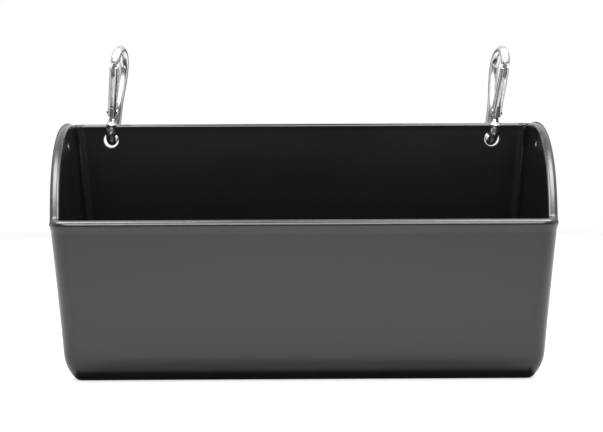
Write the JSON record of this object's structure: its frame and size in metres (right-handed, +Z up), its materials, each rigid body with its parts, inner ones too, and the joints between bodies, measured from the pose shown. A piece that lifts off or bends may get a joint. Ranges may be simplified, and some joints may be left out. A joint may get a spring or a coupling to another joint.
{
  "type": "clip-on feeder",
  "caption": "Moulded feed trough with a low front and a tall flat back, hung by spring snap hooks through holes near the back rim.",
  "frame": {"origin": "on the flat base, under the middle of the rim", "axes": "+X along the trough, -Y out of the low front wall, +Z up"},
  "size_m": [0.3904, 0.2084, 0.2502],
  "materials": {
    "black_plastic": "satin black, lightly grained from the mould",
    "plated_steel": "bright plating",
    "spring_steel": "plain drawn wire"
  },
  "bodies": {
    "trough": {"trough": "black_plastic"},
    "left_hook": {"left_hook": "plated_steel", "left_rivet": "plated_steel"},
    "left_gate": {"left_gate": "plated_steel", "left_gate_pin": "plated_steel", "left_spring": "spring_steel"},
    "left_plunger": {"left_plunger": "spring_steel"},
    "right_hook": {"right_hook": "plated_steel", "right_rivet": "plated_steel"},
    "right_gate": {"right_gate": "plated_steel", "right_gate_pin": "plated_steel", "right_spring": "spring_steel"},
    "right_plunger": {"right_plunger": "spring_steel"}
  },
  "joints": [
    {"name": "left_hook_swing", "type": "hinge", "parent": "trough", "child": "left_hook", "pos_m": [-0.15875, 0.09198, 0.1717], "axis": [0, -0.9998, 0.0209], "range_deg": [-52.1, 50.9]},
    {"name": "left_gate_hinge", "type": "hinge", "parent": "left_hook", "child": "left_gate", "pos_m": [-0.15674, 0.08435, 0.19578], "axis": [-0.9796, 0.1757, 0.0976], "range_deg": [0, 28], "stiffness_Nm_per_rad": 0.3, "springref_deg": -11.46},
    {"name": "left_plunger_slide", "type": "slide", "parent": "left_gate", "child": "left_plunger", "axis": [0.0685, -0.1647, 0.984], "range_m": [0, 0.0012], "deforming": ["left_spring"]},
    {"name": "right_hook_swing", "type": "hinge", "parent": "trough", "child": "right_hook", "pos_m": [0.15875, 0.09198, 0.1717], "axis": [0, 0.9998, -0.0209], "range_deg": [-64.9, 38.1]},
    {"name": "right_gate_hinge", "type": "hinge", "parent": "right_hook", "child": "right_gate", "pos_m": [0.16224, 0.08432, 0.19431], "axis": [-0.9777, -0.1711, 0.1219], "range_deg": [0, 28], "stiffness_Nm_per_rad": 0.3, "springref_deg": -11.46},
    {"name": "right_plunger_slide", "type": "slide", "parent": "right_gate", "child": "right_plunger", "axis": [0.1504, -0.1649, 0.9748], "range_m": [0, 0.0012], "deforming": ["right_spring"]}
  ],
  "couplings": [
    {"joint": "left_plunger_slide", "follows": "left_gate_hinge", "m_per_rad": 0.00245},
    {"joint": "right_plunger_slide", "follows": "right_gate_hinge", "m_per_rad": 0.00245}
  ]
}
